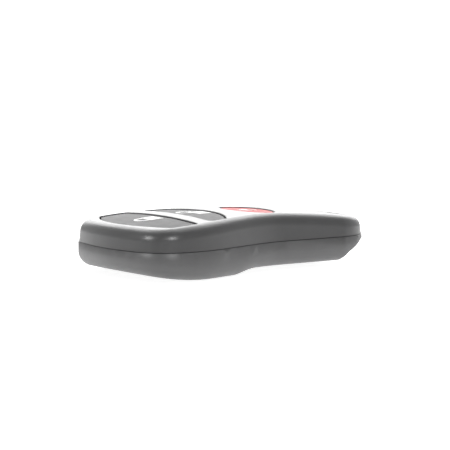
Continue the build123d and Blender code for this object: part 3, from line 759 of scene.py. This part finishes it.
def trackRun(points):
    # one track as flat runs between its points, with a round joint at each
    width = boardDetail["trackWidth"]
    height = boardDetail["trackHeight"]
    parts = []
    for start, end in zip(points, points[1:]):
        run = Vector(end) - Vector(start)
        deselectAll()
        middle = (Vector(start) + Vector(end)) / 2
        bpy.ops.mesh.primitive_cube_add(size=1, location=(middle.x, middle.y, boardTop + height / 2))
        piece = bpy.context.active_object
        piece.scale = (run.length, width, height)
        piece.rotation_euler.z = math.atan2(run.y, run.x)
        parts.append(piece)
    for point in points[1:-1]:
        place = (point[0], point[1], boardTop + height / 2)
        parts.append(disc(place, width / 2, height, roundness["holeSides"]))
    return parts


def boardTracks():
    # each switch has a track from its two tailward feet to the chip, on lanes beside the switches
    chipLow, chipHigh = boxOf(nodes["control_chip"])
    chipX = (chipLow.x + chipHigh.x) / 2
    tracks = []
    vias = []
    for order, keyName in enumerate(keyNames):
        low, high = boxOf(nodes[keyName + "_switch_base"])
        for side in (-1, 1):
            apart = (len(keyNames) - order) * boardDetail["lanePitch"]
            lane = side * (high.y + boardDetail["laneStart"] + apart)
            footY = side * (high.y - boardDetail["laneStart"])
            footX = high.x if high.x < chipX else low.x
            onward = 1 if high.x < chipX else -1
            bendX = footX + onward * (abs(lane) - abs(footY))
            endX = chipX - onward * (abs(lane) - abs(footY)) / 2
            points = [(footX, footY), (bendX, lane), (endX, lane)]
            tracks += trackRun(points)
            place = (endX, lane, boardTop + boardDetail["trackHeight"])
            via = disc(place, boardDetail["viaRadius"], boardDetail["viaHeight"])
            hole = disc(place, boardDetail["viaHole"], boardDetail["viaCut"], roundness["holeSides"])
            vias.append(cutBy(via, hole))
    finishPiece(joined(tracks, "board_tracks"), "case", finishes["masked_track"])
    finishPiece(joined(vias, "board_vias"), "case", finishes["copper"])


def partOutlines():
    # printed corner marks round the larger parts, with no letters
    gap = boardDetail["inkGap"]
    width = boardDetail["inkWidth"]
    parts = []
    for nodeName in ("control_chip", "crystal", "resonator"):
        low, high = boxOf(nodes[nodeName])
        reachX = (high.x - low.x) * boardDetail["inkShare"]
        reachY = (high.y - low.y) * boardDetail["inkShare"]
        for sideX, edgeX in ((-1, low.x - gap), (1, high.x + gap)):
            for sideY, edgeY in ((-1, low.y - gap), (1, high.y + gap)):
                inX = edgeX - sideX * reachX
                inY = edgeY - sideY * reachY
                top = boardTop + boardDetail["inkHeight"]
                parts.append(block(
                    (min(inX, edgeX), edgeY - width / 2, boardTop),
                    (max(inX, edgeX), edgeY + width / 2, top),
                ))
                parts.append(block(
                    (edgeX - width / 2, min(inY, edgeY), boardTop),
                    (edgeX + width / 2, max(inY, edgeY), top),
                ))
    finishPiece(joined(parts, "board_print"), "case", finishes["symbol_ink"])


def testPads():
    # a row of gilded test pads on the underside, tailward of the cell
    low, high = boxOf(nodes["circuit_board"])
    cellHigh = boxOf(nodes["battery_can"])[1]
    startX = (cellHigh.x + high.x) / 2
    pads = []
    for index in range(boardDetail["testPads"]):
        y = (index - (boardDetail["testPads"] - 1) / 2) * boardDetail["testPadPitch"]
        place = (startX, y, boardUnder)
        pads.append(disc(place, boardDetail["testPadRadius"], boardDetail["testPadHeight"]))
    finishPiece(joined(pads, "test_pads"), "case", finishes["copper"])


boardTracks()
partOutlines()
testPads()
print("board detail made")


def screwThread():
    # a ridge wound round the shank, closed at both ends
    thread = {
        "root": 0.93 * mm, "height": 0.1 * mm, "pitch": 0.62 * mm, "start": 0.5 * mm,
        "turns": 6, "steps": 40,
    }
    low, high = boxOf(nodes["case_screw"])
    axisX = (low.x + high.x) / 2
    tipLength = thread["pitch"] * thread["turns"] + thread["start"]
    deselectAll()
    bpy.ops.mesh.primitive_circle_add(vertices=3, radius=thread["height"])
    piece = bpy.context.active_object
    piece.location = (thread["root"], 0, high.z - tipLength)
    piece.rotation_euler = (math.pi / 2, math.pi / 2, 0)
    applyPlace(piece)
    winding = piece.modifiers.new("winding", "SCREW")
    winding.screw_offset = thread["pitch"]
    winding.iterations = thread["turns"]
    winding.steps = thread["steps"]
    winding.render_steps = thread["steps"]
    bpy.ops.object.modifier_apply(modifier=winding.name)
    bpy.ops.object.mode_set(mode="EDIT")
    bpy.ops.mesh.select_all(action="SELECT")
    bpy.ops.mesh.remove_doubles(threshold=outside["weld"])
    bpy.ops.mesh.fill_holes(sides=4)
    bpy.ops.mesh.normals_make_consistent(inside=False)
    bpy.ops.object.mode_set(mode="OBJECT")
    piece.location = (axisX, 0, 0)
    applyPlace(piece)
    piece.name = "screw_thread"
    finishPiece(piece, "case", finishes["screw"])


def cellDetail():
    # the crimped edge of the cell's cup and two contact bumps on the spring leaf
    cell = {
        "crimp": 0.16 * mm, "crimpFlatness": 0.5,
        "bumpIn": 1.1 * mm, "bumpReach": 0.32 * mm, "bumpHeight": 0.1 * mm, "bumpApart": 1.2 * mm,
    }
    canLow, canHigh = boxOf(nodes["battery_can"])
    gasketLow, gasketHigh = boxOf(nodes["battery_gasket"])
    middle = (canLow + canHigh) / 2
    radius = (gasketHigh.y - gasketLow.y) / 2 + cell["crimp"]
    edge = ring((middle.x, 0, canHigh.z), radius, cell["crimp"], cell["crimpFlatness"])
    finishPiece(joined([edge], "cell_crimp"), "case", finishes["cell"])
    capTop = boxOf(nodes["battery_cap"])[1].z
    leafX = boxOf(nodes["negative_contact"])[1].x - cell["bumpIn"]
    bumps = [bead((leafX, side * cell["bumpApart"], capTop + cell["bumpHeight"]),
                  (cell["bumpReach"], cell["bumpReach"], cell["bumpHeight"])) for side in (-1, 1)]
    finishPiece(joined(bumps, "leaf_bumps"), "case", finishes["spring_steel"])


def contactSolder():
    solder = {"width": 0.5 * mm, "height": 0.16 * mm}
    parts = []
    for nodeName in ("positive_contact", "negative_contact"):
        low, high = boxOf(nodes[nodeName])
        x = high.x if nodeName == "positive_contact" else low.x
        reach = (solder["width"], (high.y - low.y) / 2, solder["height"])
        parts.append(bead((x, 0, boardUnder), reach))
    finishPiece(joined(parts, "contact_solder"), "case", finishes["leads"])


screwThread()
cellDetail()
contactSolder()
print("screw, cell and contact detail made")


# Floor, light and camera

studio = {
    "floorHalf": 3.0,
    "floorWhite": 0.9,
    "floorRoughness": 0.9,
    "floorGlow": 0.82,
    "floorBounce": 0.95,
    "floorMirror": 1.08,
    "brightSide": (0.558, 0.830, 0.0),
    "sideSpan": (-0.6, 0.6),
    "mirrorFront": 0.35,
    "mirrorBack": 0.8,
    "airFront": 0.28,
    "airBack": 0.38,
}


def whiteFloor():
    deselectAll()
    bpy.ops.mesh.primitive_plane_add(size=2 * studio["floorHalf"], location=(0, 0, cadLow.z))
    floor = bpy.context.active_object
    floor.name = "floor"
    applyPlace(floor)
    material = bpy.data.materials.new("white_floor")
    material.use_nodes = True
    tree = material.node_tree
    shader = tree.nodes["Principled BSDF"]
    shader.inputs["Base Color"].default_value = (*[studio["floorWhite"]] * 3, 1)
    shader.inputs["Roughness"].default_value = studio["floorRoughness"]
    shader.inputs["Specular IOR Level"].default_value = 0.0
    shader.inputs["Emission Color"].default_value = (1, 1, 1, 1)
    # the table is lit from below: what stands on it gets more of that light than the camera
    lightPath = tree.nodes.new("ShaderNodeLightPath")
    mirrored = lightPath.outputs["Is Glossy Ray"]
    bounce = mixValues(tree, mirrored, studio["floorBounce"], studio["floorMirror"])
    glow = mixValues(tree, lightPath.outputs["Is Camera Ray"], bounce, studio["floorGlow"])
    tree.links.new(glow, shader.inputs["Emission Strength"])
    # from below the table is clear, so that the underside can be looked at
    clear = tree.nodes.new("ShaderNodeBsdfTransparent")
    side = tree.nodes.new("ShaderNodeNewGeometry")
    mix = tree.nodes.new("ShaderNodeMixShader")
    tree.links.new(side.outputs["Backfacing"], mix.inputs["Fac"])
    tree.links.new(shader.outputs["BSDF"], mix.inputs[1])
    tree.links.new(clear.outputs["BSDF"], mix.inputs[2])
    tree.links.new(mix.outputs["Shader"], tree.nodes["Material Output"].inputs["Surface"])
    floor.data.materials.append(material)


def paleWorld():
    # white where it is seen directly, and for its light brighter behind the fob than before it
    world = bpy.data.worlds.new("studio_air")
    bpy.context.scene.world = world
    world.use_nodes = True
    tree = world.node_tree
    tree.nodes.clear()
    lightPath = tree.nodes.new("ShaderNodeLightPath")
    direction = tree.nodes.new("ShaderNodeTexCoord")
    backward = tree.nodes.new("ShaderNodeVectorMath")
    backward.operation = "DOT_PRODUCT"
    backward.inputs[1].default_value = studio["brightSide"]
    tree.links.new(direction.outputs["Generated"], backward.inputs[0])
    side = backward.outputs["Value"]
    mirrored = spread(tree, side, studio["mirrorFront"], studio["mirrorBack"], *studio["sideSpan"])
    lit = spread(tree, side, studio["airFront"], studio["airBack"], *studio["sideSpan"])
    indirect = mixValues(tree, lightPath.outputs["Is Glossy Ray"], lit, mirrored)
    seen = tree.nodes.new("ShaderNodeMath")
    seen.operation = "MAXIMUM"
    tree.links.new(lightPath.outputs["Is Camera Ray"], seen.inputs[0])
    tree.links.new(lightPath.outputs["Is Transmission Ray"], seen.inputs[1])
    air = tree.nodes.new("ShaderNodeBackground")
    air.inputs["Color"].default_value = (1, 1, 1, 1)
    tree.links.new(mixValues(tree, seen.outputs[0], indirect, 1.0), air.inputs["Strength"])
    output = tree.nodes.new("ShaderNodeOutputWorld")
    tree.links.new(air.outputs[0], output.inputs["Surface"])


lamps = {
    # name: azimuth round the fob, elevation, distance, width, height, power
    "back_softbox": (146.1, 26.0, 0.75, 0.7, 0.52, 4.2),
    "top_softbox": (146.1, 60.0, 0.80, 0.9, 0.80, 4.0),
    "left_glint": (-93.5, 34.0, 0.60, 0.10, 0.06, 1.7),
    "right_glint": (-10.0, 34.0, 0.60, 0.10, 0.06, 1.7),
}


def softbox(name, azimuth, elevation, distance, width, height, power):
    around = math.radians(azimuth)
    above = math.radians(elevation)
    level = math.cos(above)
    outward = Vector((math.sin(around) * level, -math.cos(around) * level, math.sin(above)))
    deselectAll()
    bpy.ops.object.light_add(type="AREA", location=outward * distance)
    lamp = bpy.context.active_object
    lamp.name = name
    lamp.rotation_euler = (-outward).to_track_quat("-Z", "Y").to_euler()
    lamp.data.shape = "RECTANGLE"
    lamp.data.size = width
    lamp.data.size_y = height
    lamp.data.energy = power
    # the two small lamps only leave their reflections on the near corner
    lamp.visible_diffuse = not name.endswith("glint")


photoCamera = {
    "aim": (-0.80 * mm, 0.94 * mm, 9.16 * mm),
    "place": (-361.4 * mm, -535.6 * mm, 77.0 * mm),
    "lens": 242.77,
    "sensor": 36.0,
    "clip": (0.01, 20.0),
}


def placeCamera():
    deselectAll()
    bpy.ops.object.camera_add(location=photoCamera["place"])
    camera = bpy.context.active_object
    look = Vector(photoCamera["aim"]) - Vector(photoCamera["place"])
    camera.rotation_euler = look.to_track_quat("-Z", "Y").to_euler()
    camera.data.lens = photoCamera["lens"]
    camera.data.sensor_width = photoCamera["sensor"]
    camera.data.clip_start, camera.data.clip_end = photoCamera["clip"]
    bpy.context.scene.camera = camera


whiteFloor()
paleWorld()
for lampName, lampSettings in lamps.items():
    softbox(lampName, *lampSettings)
placeCamera()
bpy.context.scene.view_settings.view_transform = "Standard"
print("floor, light and camera in place")
